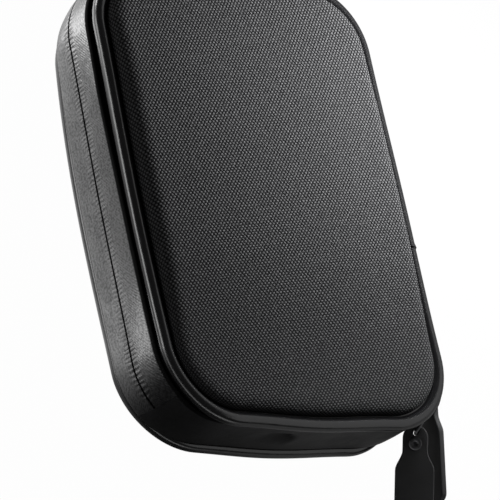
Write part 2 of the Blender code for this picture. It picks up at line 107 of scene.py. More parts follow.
# How far each soft corner draws in along X and Y, by front or rear, right or left, and top or fold end
CORNER_DRAWS = {
    (False, False, False): (0.0002, 0.0034),
    (False, False, True): (0.0036, 0.0026),
    (False, True, False): (0.0006, 0.0013),
    (False, True, True): (0.0026, 0.0026),
    (True, False, False): (0.0024, 0.0),
    (True, False, True): (0.0, 0.0),
    (True, True, False): (-0.0013, -0.0013),
    (True, True, True): (-0.0005, -0.0024),
}


# What a user would change


class ZipCaseSizes(bpy.types.PropertyGroup):
    """Sizes of the soft pieces that the frame's boxes don't give."""

    corner_radius: FloatProperty(
        name="Corner Radius", description="Radius of the rim's corners", default=0.0233, unit="LENGTH"
    )
    side_bow: FloatProperty(
        name="Side Bow", description="How far the long sides bow out", default=0.0005, unit="LENGTH"
    )
    end_bow: FloatProperty(
        name="End Bow", description="How far the short ends bow out", default=0.0009, unit="LENGTH"
    )
    zip_end: FloatProperty(
        name="Zip End",
        description="How far the zip runs round the lower corners",
        default=math.radians(36),
        subtype="ANGLE",
    )
    flange: FloatProperty(
        name="Piping Flange", description="Length of the piping's sewn edge", default=0.007, unit="LENGTH"
    )
    shoulder: FloatProperty(
        name="Shoulder", description="Width of the faces' rounded shoulder", default=0.007, unit="LENGTH"
    )
    cloth: FloatProperty(
        name="Face Cloth", description="Thickness of the face cloth", default=0.0007, unit="LENGTH"
    )
    tape: FloatProperty(name="Tape", description="Thickness of the zip tape", default=0.0007, unit="LENGTH")
    roll: FloatProperty(
        name="Wall Roll", description="How far the walls roll out beside the piping", default=0.0001, unit="LENGTH"
    )
    panel: FloatProperty(
        name="Fold Panel", description="Thickness of the fold panel", default=0.0009, unit="LENGTH"
    )
    slot: FloatProperty(
        name="Closed Slot", description="Half the gap between the tapes of the closed zip", default=0.00045, unit="LENGTH"
    )
    slack: FloatProperty(
        name="Fold Slack", description="How far the fold panel falls in between the pipings", default=0.0029, unit="LENGTH"
    )
    coil_pitch: FloatProperty(
        name="Coil Pitch", description="Distance between the zip coil's turns", default=0.00145, unit="LENGTH"
    )
    tab_width: FloatProperty(
        name="Tab Width", description="Width of a pull tab", default=0.013, unit="LENGTH"
    )
    tab_neck: FloatProperty(
        name="Tab Neck", description="Width of a pull tab's neck", default=0.0084, unit="LENGTH"
    )
    tab_thickness: FloatProperty(
        name="Tab Thickness", description="Thickness of a pull tab", default=0.0022, unit="LENGTH"
    )
    tab_length: FloatProperty(
        name="Tab Length", description="From the window's top edge to the foot", default=0.0362, unit="LENGTH"
    )
    link_radius: FloatProperty(
        name="Link Wire", description="Radius of the pull link's wire", default=0.00055, unit="LENGTH"
    )


class ZipCaseColours(bpy.types.PropertyGroup):
    """Colours of the finishes."""

    thread_light: FloatVectorProperty(
        name="Thread", description="Raised threads of the faces", default=(0.16, 0.161, 0.164), subtype="COLOR"
    )
    thread_dark: FloatVectorProperty(
        name="Thread Gap", description="Gaps between the threads", default=(0.008, 0.008, 0.009), subtype="COLOR"
    )
    vinyl: FloatVectorProperty(
        name="Piping", description="Vinyl piping", default=(0.011, 0.011, 0.012), subtype="COLOR"
    )
    tape: FloatVectorProperty(
        name="Zip Tape", description="Coated zip tape", default=(0.04, 0.04, 0.042), subtype="COLOR"
    )
    # Painted shade: a near-black colour for the groove and the roll beside the piping, where the crevice lies in
    # shade.
    groove_shade: FloatVectorProperty(
        name="Groove", description="Seam down beside the piping", default=(0.012, 0.012, 0.012), subtype="COLOR"
    )
    panel: FloatVectorProperty(
        name="Fold Panel", description="Fold panel", default=(0.024, 0.024, 0.025), subtype="COLOR"
    )
    lining: FloatVectorProperty(
        name="Lining", description="Knit lining", default=(0.035, 0.035, 0.038), subtype="COLOR"
    )
    rubber: FloatVectorProperty(
        name="Pull Tabs", description="Moulded rubber", default=(0.042, 0.042, 0.043), subtype="COLOR"
    )
    metal: FloatVectorProperty(
        name="Metal", description="Sliders, links and eyelets", default=(0.3, 0.3, 0.31), subtype="COLOR"
    )
    floor: FloatVectorProperty(
        name="Floor", description="Floor and backdrop", default=(0.55, 0.55, 0.55), subtype="COLOR"
    )


class ZipCaseView(bpy.types.PropertyGroup):
    """The camera, as it stood for the photograph, and the size of its frame."""

    lens: FloatProperty(name="Lens", description="Focal length in mm", default=229.9)
    sensor: FloatProperty(name="Sensor", description="Sensor width in mm", default=36.0)
    place: FloatVectorProperty(
        name="Camera", description="Where the camera stands", default=(-0.6066, -0.3852, 0.7823), unit="LENGTH"
    )
    heading: FloatVectorProperty(
        name="Turn",
        description="Camera's turn as XYZ angles",
        default=(0.50261, -0.58195, -0.23512),
        subtype="EULER",
    )


# The rim line


def rim_station(sizes, along):
    """Point and outward normal on the rim, where each whole number of along is one side or corner."""
    stretch = math.floor(along)
    part = along - stretch
    quarter = (stretch // 2) % 4
    long_side = quarter % 2 == 0
    half_width = PIPING_HIGH[0] - PIPING_RADIUS - sizes.side_bow
    half_length = PIPING_HIGH[1] - PIPING_RADIUS - sizes.end_bow
    reach, other = (half_width, half_length) if long_side else (half_length, half_width)
    half = other - sizes.corner_radius
    bow = sizes.side_bow if long_side else sizes.end_bow
    if stretch % 2 == 0:
        s = 2 * part - 1
        point = Vector((reach + bow * (1 + math.cos(math.pi * s)) / 2, half * s))
        normal = Vector((half, bow * math.pi * math.sin(math.pi * s) / 2)).normalized()
    else:
        angle = part * math.pi / 2
        normal = Vector((math.cos(angle), math.sin(angle)))
        point = Vector((reach - sizes.corner_radius, half)) + sizes.corner_radius * normal
    turn = Matrix.Rotation(quarter * math.pi / 2, 2)
    return turn @ point, turn @ normal


def rim_places(sizes, first, last, side_steps=24, corner_steps=18):
    """Matrices along the rim, X outwards and Z up, with the distance run so far."""
    values = [first]
    for stretch in range(math.floor(first), math.ceil(last)):
        steps = side_steps if stretch % 2 == 0 else corner_steps
        values += [stretch + i / steps for i in range(steps) if first < stretch + i / steps < last]
    values.append(last)
    places, run, before = [], 0.0, None
    for value in values:
        point, normal = rim_station(sizes, value)
        run += (point - before).length if before else 0.0
        before = point
        turn = Matrix.Rotation(math.atan2(normal.y, normal.x), 4, "Z")
        places.append((Matrix.Translation(point.to_3d()) @ turn, run))
    return places


def arc(radius, start, end, steps, centre=(0.0, 0.0)):
    angles = [start + (end - start) * i / steps for i in range(steps + 1)]
    return [(centre[0] + radius * math.cos(a), centre[1] + radius * math.sin(a)) for a in angles]


# Mesh helpers


def only(kind, geometry):
    return [item for item in geometry if isinstance(item, kind)]


def sweep(section, places, closed=False, marks=None):
    """Extrude a section of (out, up) points from place to place, with UVs in metres along and across."""
    bm = bmesh.new()
    uv = bm.loops.layers.uv.new("UVMap")
    station = bm.verts.layers.int.new("station")
    across_layer = bm.verts.layers.float.new("across")
    mark_layer = bm.verts.layers.float.new("unshaded")
    verts, across = [], 0.0
    for i, (out, up) in enumerate(section):
        vert = bm.verts.new(places[0][0] @ Vector((out, 0.0, up)))
        across += (Vector((out, up)) - Vector(section[i - 1])).length if i else 0.0
        vert[across_layer] = across
        vert[mark_layer] = marks[i] if marks else 1.0
        verts.append(vert)
    edges = [bm.edges.new(pair) for pair in zip(verts, verts[1:])]
    fresh = verts
    for i in range(1, len(places)):
        made = bmesh.ops.extrude_edge_only(bm, edges=edges)["geom"]
        fresh = only(bmesh.types.BMVert, made)
        bmesh.ops.transform(bm, matrix=places[i][0] @ places[i - 1][0].inverted(), verts=fresh)
        for vert in fresh:
            vert[station] = i
        ring = set(fresh)
        edges = [e for e in only(bmesh.types.BMEdge, made) if ring.issuperset(e.verts)]
    for face in bm.faces:
        for loop in face.loops:
            loop[uv].uv = (places[loop.vert[station]][1], loop.vert[across_layer])
    if not closed:
        bm.faces.new(verts[:-1])
        bm.faces.new(sorted(fresh, key=lambda vert: vert[across_layer])[:-1])
    bmesh.ops.remove_doubles(bm, verts=bm.verts, dist=1e-6)
    bmesh.ops.recalc_face_normals(bm, faces=bm.faces)
    return bm


def smooth_line(points, steps=5):
    """A curve through points, even where they bunch."""
    ends = [points[0], *points, points[-1]]
    line = [points[0]]
    for a, b, c, d in zip(ends, ends[1:], ends[2:], ends[3:]):
        a, b, c, d = Vector(a), Vector(b), Vector(c), Vector(d)
        for i in range(1, steps + 1):
            t = i / steps
            pull = b * 2 + (c - a) * t + (a * 2 - b * 5 + c * 4 - d) * t**2 + (b * 3 - a - c * 3 + d) * t**3
            line.append(tuple(pull / 2))
    return line


def smooth_share(value):
    """0 below 0 and 1 above 1, smooth in between."""
    value = min(max(value, 0.0), 1.0)
    return value * value * (3 - 2 * value)


def band(line, thickness):
    """The closed outline of a strip of even thickness along a line."""
    left, right = [], []
    for i, point in enumerate(line):
        before, after = Vector(line[max(i - 1, 0)]), Vector(line[min(i + 1, len(line) - 1)])
        across = (after - before).normalized().orthogonal() * thickness / 2
        left.append(tuple(Vector(point) + across))
        right.append(tuple(Vector(point) - across))
    outline = left + right[::-1]
    return outline + outline[:1]


def add_piece(name, bm, material, smooth=math.radians(40)):
    """Make a finished piece of a bmesh."""
    mesh = bpy.data.meshes.new(name)
    bm.to_mesh(mesh)
    bm.free()
    mesh.shade_smooth()
    mesh.set_sharp_from_angle(angle=smooth)
    mesh.materials.append(material)
    piece = bpy.data.objects.new(name, mesh)
    bpy.context.scene.collection.objects.link(piece)
    return piece


def curve_bmesh(curve, place=None):
    """The mesh of a curve, welded and put in its place."""
    holder = bpy.data.objects.new(curve.name, curve)
    bpy.context.scene.collection.objects.link(holder)
    shape = holder.evaluated_get(bpy.context.evaluated_depsgraph_get())
    mesh = bpy.data.meshes.new_from_object(shape)
    bpy.data.objects.remove(holder)
    bm = bmesh.new()
    bm.from_mesh(mesh)
    bpy.data.meshes.remove(mesh)
    bmesh.ops.remove_doubles(bm, verts=bm.verts, dist=1e-7)
    bmesh.ops.transform(bm, matrix=place or Matrix(), verts=bm.verts)
    bmesh.ops.recalc_face_normals(bm, faces=bm.faces)
    return bm


def add_spline(curve, points, closed):
    spline = curve.splines.new("POLY")
    spline.points.add(len(points) - 1)
    for knot, point in zip(spline.points, points):
        knot.co = (*Vector(point).to_3d(), 1.0)
    spline.use_cyclic_u = closed


# Materials


class Value:
    """A number that varies over a surface. An expression on it adds Math nodes."""

    def __init__(self, finish, socket):
        self.finish = finish
        self.socket = socket

    def maths(self, operation, *others):
        return self.finish.node("ShaderNodeMath", {"operation": operation}, (self, *others))["Value"]

    def __add__(self, other):
        return self.maths("ADD", other)

    def __sub__(self, other):
        return self.maths("SUBTRACT", other)

    def __rsub__(self, other):
        return self * -1.0 + other

    def __mul__(self, other):
        return self.maths("MULTIPLY", other)

    __radd__ = __add__
    __rmul__ = __mul__

    def wave(self, length):
        """A cosine from -1 to 1 that repeats every length."""
        return (self * (2 * math.pi / length)).maths("COSINE")

    def between(self, low, high):
        """0 below low and 1 above high, smooth in between."""
        settings = {"interpolation_type": "SMOOTHSTEP"}
        return self.finish.node("ShaderNodeMapRange", settings, (self, low, high, 0.0, 1.0))["Result"]


class Finish:
    """A procedural material: its Principled shader and the nodes that feed it."""

    def __init__(self, name, colour, roughness, constants=()):
        self.material = bpy.data.materials.new(name)
        self.material.use_nodes = True
        self.tree = self.material.node_tree
        self.shader = self.tree.nodes["Principled BSDF"]
        self.feed("Base Color", (*colour, 1.0))
        self.feed("Roughness", roughness)
        for socket, value in dict(constants).items():
            self.feed(socket, value)

    def feed(self, socket, value):
        """Set a socket of the shader, or link a value to it."""
        self.connect(self.shader.inputs[socket], value)

    def connect(self, socket, value):
        if isinstance(value, Value):
            self.tree.links.new(value.socket, socket)
        elif value is not None:
            socket.default_value = value

    def node(self, kind, settings=(), values=(), **named):
        """Add a node with its settings, then the values of its sockets in order or by name."""
        node = self.tree.nodes.new(kind)
        for setting, value in dict(settings).items():
            setattr(node, setting, value)
        for socket, value in zip(node.inputs, values):
            self.connect(socket, value)
        for socket, value in named.items():
            self.connect(node.inputs[socket], value)
        return {socket.name: Value(self, socket) for socket in node.outputs if socket.enabled}

    def coordinates(self, kind="Object"):
        """The X, Y and Z of the surface, or its UV in metres."""
        place = self.node("ShaderNodeTexCoord")[kind]
        parts = self.node("ShaderNodeSeparateXYZ", (), (place,))
        return place, parts["X"], parts["Y"], parts["Z"]

    def attribute(self, name):
        """A number kept on the piece's vertices."""
        return self.node("ShaderNodeAttribute", {"attribute_name": name})["Fac"]

    def noise(self, place, size, detail=2.0):
        """Soft noise from 0 to 1 whose blots are about as wide as size."""
        return self.node("ShaderNodeTexNoise", (), Vector=place, Scale=1.0 / size, Detail=detail)["Fac"]

    def mix(self, share, first, second):
        """A colour between two others."""
        settings = {"data_type": "RGBA"}
        values = [None] * 6 + [self.colour(first), self.colour(second)]
        mixed = self.node("ShaderNodeMix", settings, values, Factor=share)
        return mixed["Result"]

    @staticmethod
    def colour(value):
        return value if isinstance(value, Value) else (*value, 1.0)

    def bump(self, height, distance, strength=1.0):
        """Let a height from about 0 to 1 raise the surface by distance."""
        named = {"Strength": strength, "Distance": distance, "Height": height}
        self.feed("Normal", self.node("ShaderNodeBump", **named)["Normal"])


def woven_finish(colours):
    """Coarse plain weave: raised warp threads in a staggered lattice, drawn closer and worn towards the fold."""
    warp_pitch, weft_pitch, lean, closer = 0.0007, 0.000885, 0.14, 0.625
    finish = Finish("woven_cloth", colours.thread_light, 0.6, {"Specular IOR Level": 0.05})
    place, x, y, _ = finish.coordinates("UV")
    drift = finish.noise(place, 0.02) * 0.0004
    run = y - y * y * closer - x * lean + drift
    warp = (x + drift).wave(2 * warp_pitch)
    weft = run.wave(2 * weft_pitch)
    rows = run.wave(weft_pitch)
    raised = warp * weft + rows * 0.3
    worn = finish.noise(place, 0.0014, 2.0)
    flat = 0.25 - y.between(-0.07, -0.01) * 0.25
    share = raised.between(-0.8, 1.2) * (worn * 0.9 + 0.55) * (1.0 - flat) + flat * 0.32
    finish.feed("Base Color", finish.mix(share, colours.thread_dark, colours.thread_light))
    finish.feed("Roughness", 0.8 - share * 0.35)
    finish.bump(raised * 0.5 + finish.noise(place, 0.0003) * 0.3, 0.0002)
    return finish.material


def vinyl_finish(colours):
    """Glossy vinyl drawn over a cord, with faint creases and a soft bloom."""
    finish = Finish("piping_vinyl", colours.vinyl, 0.2, {"IOR": 2.0})
    place, *_ = finish.coordinates()
    cloud = finish.noise(place, 0.006, 3.0)
    grain = finish.noise(place, 0.0006)
    finish.feed("Roughness", cloud * 0.12 + 0.16)
    finish.bump(cloud * 0.8 + grain * 0.1, 0.00016)
    return finish.material


def tape_finish(sizes, colours):
    """Coated twill tape: finely ribbed, flecked with dull spots, and puckered by the coil beside the slot."""
    twill, puckers = 0.0009, 0.0034
    finish = Finish("coated_tape", colours.tape, 0.3, {"IOR": 3.3})
    place, along, across, _ = finish.coordinates("UV")
    drawn = finish.node("ShaderNodeCombineXYZ", (), (along, across * 0.3))["Vector"]
    _, _, end, _ = finish.coordinates()
    unshaded = finish.attribute("unshaded")
    near = 1.0 - finish.attribute("from_slot").between(0.0004, puckers)
    wander = finish.noise(drawn, 0.003, 3.0)
    ripple = (along + wander * 0.002).wave(sizes.coil_pitch) * near * end.between(-0.078, -0.055)
    ripple = ripple * (finish.noise(drawn, 0.0016, 1.0) * 0.5 + 0.5)
    patchy = finish.noise(place, 0.003, 2.0).between(0.35, 0.65)
    slant = along * 0.8 + across + finish.noise(place, 0.004) * 0.0008
    ribs = slant.wave(twill) * (patchy * 0.85 + 0.15)
    crease = finish.noise(place, 0.0011, 3.0)
    swell = finish.noise(place, 0.03, 1.0)
    folds = ripple * 0.35 + crease * (near * 0.3 + 0.2) + ribs * 0.05 + swell * 3.0
    finish.bump(folds, 0.0005)
    shade = finish.noise(place, 0.01, 3.0)
    dark = [part * 0.7 for part in colours.tape]
    light = [part * 1.3 for part in colours.tape]
    shown = finish.mix(shade, dark, light)
    # Painted shade: in the groove and over the roll beside the piping, the tape takes the groove colour, a dark
    # metallic reflection and a rougher finish.
    finish.feed("Base Color", finish.mix(unshaded, colours.groove_shade, shown))
    flecks = finish.noise(place, 0.0008, 2.0)
    dull = flecks.between(0.35, 0.65) * 0.6 - 0.15 + ribs * 0.2 + ripple * 0.5
    dull = dull + shade.between(0.3, 0.7) * 0.25
    # Painted shade: the tape's sheen is dimmed towards the fold end by position; the dull flecks, ribs and puckers
    # are the tape's own.
    sheen_with_end_shade = (1.0 - dull.between(-0.2, 1.1) * 0.8) * (end.between(-0.0715, -0.058) * 0.65 + 0.35)
    finish.feed("Metallic", 1.0 - unshaded * sheen_with_end_shade)
    finish.feed("Roughness", shade * 0.1 + crease * 0.1 + 0.22 + (1.0 - unshaded) * 0.4)
    return finish.material


def panel_finish(colours):
    """Plain coated cloth of the fold, with a fine grain."""
    finish = Finish("fold_cloth", colours.panel, 0.5, {"Specular IOR Level": 0.3})
    place, *_ = finish.coordinates()
    cloud = finish.noise(place, 0.008, 3.0)
    grain = finish.noise(place, 0.0005)
    dark = [part * 0.75 for part in colours.panel]
    light = [part * 1.3 for part in colours.panel]
    shown = finish.mix(cloud, dark, light)
    unshaded = finish.attribute("unshaded")
    # Painted shade: in the groove and over the roll beside the piping, the panel takes the groove colour, a dark
    # metallic reflection and a rougher finish.
    finish.feed("Base Color", finish.mix(unshaded, colours.groove_shade, shown))
    finish.feed("Metallic", 1.0 - unshaded)
    finish.feed("Roughness", cloud * 0.2 + 0.38 + (1.0 - unshaded) * 0.3)
    finish.bump(cloud * 0.7 + grain * 0.2, 0.0004)
    return finish.material


def knit_finish(colours):
    """Brushed knit lining: ribs of small loops."""
    loop = 0.0011
    finish = Finish("knit_lining", colours.lining, 0.95)
    place, x, y, _ = finish.coordinates()
    nap = finish.noise(place, 0.0009, 4.0)
    loops = x.wave(loop) * y.wave(loop * 1.4)
    share = loops * 0.25 + nap * 0.75
    dark = [part * 0.45 for part in colours.lining]
    finish.feed("Base Color", finish.mix(share, dark, colours.lining))
    finish.bump(share, 0.0003)
    return finish.material


def binding_finish(colours):
    """Ribbed binding tape, its ribs across its length."""
    finish = Finish("binding_tape", colours.panel, 0.8)
    place, along, _, _ = finish.coordinates("UV")
    rib = along.wave(0.0008)
    dark = [part * 0.5 for part in colours.panel]
    finish.feed("Base Color", finish.mix(rib * 0.5 + 0.5, dark, colours.panel))
    finish.bump(rib * 0.5 + finish.noise(place, 0.0008) * 0.4, 0.00015)
    return finish.material


def nylon_finish(colours):
    """Black nylon monofilament of the zip coil."""
    finish = Finish("zip_nylon", colours.panel, 0.38)
    place, *_ = finish.coordinates()
    cloud = finish.noise(place, 0.003)
    finish.feed("Roughness", cloud * 0.2 + 0.28)
    return finish.material


def metal_finish(colours):
    """Dark plated metal, paler where it has rubbed."""
    finish = Finish("dark_metal", colours.metal, 0.32, {"Metallic": 1.0})
    place, *_ = finish.coordinates()
    rub = finish.noise(place, 0.0016, 4.0)
    dark = [part * 0.55 for part in colours.metal]
    finish.feed("Base Color", finish.mix(rub, dark, colours.metal))
    finish.feed("Roughness", rub * 0.2 + 0.38)
    finish.bump(rub, 0.00004)
    return finish.material


def rubber_finish(colours):
    """Moulded rubber with a fine sparked grain and a few rubbed patches."""
    finish = Finish("tab_rubber", colours.rubber, 0.5)
    place, *_ = finish.coordinates()
    grain = finish.noise(place, 0.00025)
    rub = finish.noise(place, 0.006, 4.0)
    light = [part * 1.5 for part in colours.rubber]
    finish.feed("Base Color", finish.mix(rub, colours.rubber, light))
    finish.feed("Roughness", rub * 0.2 + 0.42)
    finish.bump(grain, 0.00004)
    return finish.material


# Pieces of the two halves


def wall_line(sizes, thickness, slot_half):
    """Middle line of one half of the wall: under the piping, a roll beside it, then on to the slot."""
    lip = FACE_BASE + thickness / 2
    wrap = PIPING_RADIUS + CLEARANCE + thickness / 2
    start = math.pi + math.asin(lip / wrap)
    line = [(-sizes.flange, -lip), (-sizes.flange * 0.7, -lip)] + arc(wrap, start, 1.5 * math.pi, 8)
    low, high, middle = WALL_BULGE * 0.25, sizes.roll + WALL_BULGE, WALL_BULGE
    last = HALF_SPACING - slot_half
    roll = [(0.0, 0.0), (low, 0.0003), (low * 2.0, 0.0004), (low * 2.9, 0.0002), (high * 0.86, 0.0001)]
    roll += [(high * 0.96, 0.0003), (high, 0.0009), (high, 0.0026), (high * 0.995, 0.0042)]
    points = [(out - (thickness / 2 if i > 2 else 0.0), -wrap - deep) for i, (out, deep) in enumerate(roll)]
    for share in (0.3, 0.6, 0.85, 1.0):
        deep = wrap + 0.0042 + (last - wrap - 0.0042) * share
        ease = share * share * (3 - 2 * share)
        points.append((high + (middle - high) * ease - thickness / 2, -deep))
    return line[:-1] + smooth_line(points)


def groove_shade_marks(line, thickness):
    """1 where the wall shows, 0 down in the groove beside the piping and over the roll beside it, for both sides of
    a band. Where it is 0 the finishes paint shade.
    """
    groove_shade, edge = 0.0005, 0.0002
    wrap = PIPING_RADIUS + CLEARANCE + thickness / 2
    marks = [smooth_share((wall_depth(up) - wrap - groove_shade) / edge) for _, up in line]
    outline = marks + [0.0] * len(marks)
    return outline + outline[:1]


def wall_depth(up):
    """How far a point of either half's wall lies from the nearer rim plane."""
    return min(abs(up), abs(2 * HALF_SPACING + up))


def raise_crest(bm, places, ease=0.0):
    """Let the front wall swell up beside the piping, towards the fold and a little less towards the top."""
    first, last, rise, reach = 0.045, -0.015, 0.002, 0.007
    top_first, top_last, top_rise = 0.02, 0.08, 0.0016
    station = bm.verts.layers.int["station"]
    length = places[-1][1]
    for vert in bm.verts:
        place, run = places[vert[station]]
        out = (place.inverted() @ vert.co).x - PIPING_RADIUS
        near = min(max(1 - (-vert.co.z - PIPING_RADIUS) / reach, 0.0), 1.0)
        lift = rise * smooth_share((first - vert.co.y) / (first - last))
        lift = max(lift, top_rise * smooth_share((vert.co.y - top_first) / (top_last - top_first)))
        if ease:
            lift *= 1 - smooth_share(min(run, length - run) / ease)
        vert.co.z += lift * smooth_share(out / 0.0007) * near**2


def settle(co):
    """Let the soft rims give: each corner draws in or out by its own amount, and the sides bow."""
    height = (co.z - MID_Z) / HALF_SPACING
    share = min(abs(height), 1.0) ** 1.5
    half_width, half_length = PIPING_HIGH[0] - PIPING_RADIUS, PIPING_HIGH[1] - PIPING_RADIUS
    across, along = co.x / half_width, co.y / half_length
    draw_x, draw_y = CORNER_DRAWS[height > 0, across > 0, along > 0]
    weight = share * abs(across * along) ** 3
    if height < 0:
        co.x += share * 0.001 * across * max(1.0 - along**2 * 1.6, 0.0)
    elif along < 0:
        co.y += share * 0.001 * along**3 * max(1.0 - across**2, 0.0)
    co.x -= math.copysign(weight, across) * draw_x
    co.y -= math.copysign(weight, along) * draw_y


def half_bmesh(bm, half):
    """Move a piece made on its own rim plane, face up, to the front or the rear rim."""
    _, rim, side, _ = half
    bmesh.ops.transform(bm, matrix=Matrix.Diagonal((1, 1, side, 1)), verts=bm.verts)
    bmesh.ops.translate(bm, vec=(0, 0, rim), verts=bm.verts)
    for vert in bm.verts:
        settle(vert.co)
    if side < 0:
        bmesh.ops.reverse_faces(bm, faces=bm.faces)
    return bm


def rim_face(bm, sizes, inset, height):
    """A flat face inside the rim."""
    places = rim_places(sizes, 0, 8)[:-1]
    verts = [bm.verts.new(place @ Vector((-inset, 0.0, height))) for place, _ in places]
    face = bm.faces.new(verts)
    face.normal_update()
    return face


def face_bmesh(sizes, swell):
    """The crowned face: a rounded shoulder, then rings that swell gently to the middle."""
    power, rings, domes = 3.0, 12, 9
    edge = PIPING_RADIUS + CLEARANCE
    rise = REAR_CROWN - FACE_BASE
    bm = bmesh.new()
    uv = bm.loops.layers.uv.new("UVMap")
    drop = bm.verts.layers.float.new("drop")
    face = rim_face(bm, sizes, edge, FACE_BASE)
    inset, height, fall = edge, FACE_BASE, 0.0
    for i in range(1, rings + 1):
        angle = math.pi / 2 * i / rings
        next_inset = edge + sizes.shoulder * (1 - max(math.cos(angle), 0.0) ** (2 / power))
        next_height = FACE_BASE + rise * math.sin(angle) ** (2 / power)
        step, climb = next_inset - inset, next_height - height
        bmesh.ops.inset_region(
            bm, faces=[face], thickness=step, depth=climb, use_even_offset=True, use_boundary=True
        )
        fall += math.hypot(step, climb) - step
        for vert in face.verts:
            vert[drop] = fall
        inset, height = next_inset, next_height
    size = 1.0
    for i in range(1, domes + 1):
        made = bmesh.ops.extrude_face_region(bm, geom=[face])["geom"]
        if face.is_valid:
            bmesh.ops.delete(bm, geom=[face], context="FACES_ONLY")
        face = only(bmesh.types.BMFace, made)[0]
        verts = only(bmesh.types.BMVert, made)
        next_size = 1.0 - i / (domes + 1)
        shrink = next_size / size
        bmesh.ops.scale(bm, vec=(shrink, shrink, 1.0), verts=verts)
        bmesh.ops.translate(bm, vec=(0, 0, swell * (size**2 - next_size**2)), verts=verts)
        size = next_size
    for ring_face in bm.faces:
        for loop in ring_face.loops:
            flat = loop.vert.co.xy
            outwards = (flat - core_point(sizes, flat)).normalized()
            loop[uv].uv = flat + outwards * (fall - loop.vert[drop])
    return bm


def ease_crown(bm):
    """Let the front face lie lower towards the fold, where its pad runs thin, and a little at the top."""
    fold_first, fold_last, fold_thin = -0.015, -0.07, 0.5
    top_first, top_last, top_thin = 0.03, 0.08, 0.3
    base = FRONT_RIM_Z + FACE_BASE
    for vert in bm.verts:
        low = smooth_share((vert.co.y - fold_first) / (fold_last - fold_first))
        high = smooth_share((vert.co.y - top_first) / (top_last - top_first))
        vert.co.z = base + (vert.co.z - base) * (1 - fold_thin * low - top_thin * high)


def core_point(sizes, flat):
    """The nearest point of the box between the corners' centres, from which the rim's normals spread."""
    half_width = PIPING_HIGH[0] - PIPING_RADIUS - sizes.side_bow - sizes.corner_radius
    half_length = PIPING_HIGH[1] - PIPING_RADIUS - sizes.end_bow - sizes.corner_radius
    return Vector((min(max(flat.x, -half_width), half_width), min(max(flat.y, -half_length), half_length)))


class ZIPCASE_OT_faces(bpy.types.Operator):
    """Make the woven front and rear faces over their foam pads"""

    bl_idname = "zip_case.faces"
    bl_label = "Faces"

    def execute(self, context):
        sizes = context.scene.zip_case_sizes
        cloth = woven_finish(context.scene.zip_case_colours)
        for name, half in HALVES.items():
            bm = half_bmesh(face_bmesh(sizes, half[3]), half)
            if name == "front":
                ease_crown(bm)
            piece = add_piece(f"{name}_face_cloth", bm, cloth)
            shell = piece.modifiers.new("thickness", "SOLIDIFY")
            shell.thickness = sizes.cloth
            shell.offset = -1.0
            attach(piece, half[0])
            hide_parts(f"{name}_face", f"{name}_foam_pad")
        return {"FINISHED"}


class ZIPCASE_OT_linings(bpy.types.Operator):
    """Make the knit linings inside the two halves"""

    bl_idname = "zip_case.linings"
    bl_label = "Linings"

    def execute(self, context):
        sizes = context.scene.zip_case_sizes
        knit = knit_finish(context.scene.zip_case_colours)
        inset = PIPING_HIGH[0] - PIPING_RADIUS - LINING_HIGH[0]
        height = LINING_HIGH[2] - FRONT_RIM_Z
        for name, half in HALVES.items():
            bm = bmesh.new()
            face = rim_face(bm, sizes, inset, height)
            area = face.calc_area()
            piece = add_piece(f"{name}_lining_cloth", half_bmesh(bm, half), knit)
            shell = piece.modifiers.new("thickness", "SOLIDIFY")
            shell.thickness = LINING_HIGH[2] - LINING_LOW[2]
            shell.offset = -1.0
            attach(piece, half[0])
            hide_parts(f"{name}_lining")
        return {"FINISHED"}


def turn_out(bm, places, flare):
    """Let the upper end of the piping stand out at the butt joint."""
    station = bm.verts.layers.int["station"]
    place = places[0][0]
    for vert in bm.verts:
        local = place.inverted() @ vert.co
        if vert[station] == 0 and local.x > 0:
            local.x *= 1 + flare / PIPING_RADIUS
            vert.co = place @ local


class ZIPCASE_OT_pipings(bpy.types.Operator):
    """Make the glossy piping of both rims, with its butt joint on the right side"""

    bl_idname = "zip_case.pipings"
    bl_label = "Pipings"

    def execute(self, context):
        sizes = context.scene.zip_case_sizes
        vinyl = vinyl_finish(context.scene.zip_case_colours)
        joint_place, joint_gap, flare = 0.3505, 0.003, 0.0006
        flange_half = FACE_BASE - CLEARANCE
        turn = math.pi - math.asin(flange_half / PIPING_RADIUS)
        outline = [(-sizes.flange, flange_half)] + arc(PIPING_RADIUS, turn, -turn, 24)
        outline += [(-sizes.flange, -flange_half), (-sizes.flange, flange_half)]
        places = rim_places(sizes, joint_place + joint_gap, 8 + joint_place - joint_gap, 30, 24)
        for name, half in HALVES.items():
            bm = sweep(outline, places)
            turn_out(bm, places, flare)
            half_bmesh(bm, half)
            piece = add_piece(f"{name}_rim_piping", bm, vinyl)
            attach(piece, half[0])
            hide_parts(f"{name}_piping", f"{name}_piping_core")
        return {"FINISHED"}


class ZIPCASE_OT_bindings(bpy.types.Operator):
    """Make the ribbed bindings that cover the seams inside"""

    bl_idname = "zip_case.bindings"
    bl_label = "Bindings"

    def execute(self, context):
        sizes = context.scene.zip_case_sizes
        ribbed = binding_finish(context.scene.zip_case_colours)
        thickness = 0.0005
        back = BINDING_HIGH[0] - (PIPING_HIGH[0] - PIPING_RADIUS)
        depth = sizes.flange + CLEARANCE + thickness / 2
        top = BINDING_HIGH[2] - FRONT_RIM_Z - thickness / 2
        bottom = BINDING_LOW[2] - FRONT_RIM_Z + thickness / 2
        round_end = (top - bottom) / 2
        turn = arc(round_end, math.pi / 2, 1.5 * math.pi, 10, (round_end - depth, (top + bottom) / 2))
        outline = band([(back, top), *turn, (back, bottom)], thickness)
        for name, half in HALVES.items():
            bm = half_bmesh(sweep(outline, rim_places(sizes, 0, 8), closed=True), half)
            piece = add_piece(f"{name}_binding", bm, ribbed)
            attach(piece, half[0])
            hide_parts(f"{name}_seam_binding")
        return {"FINISHED"}


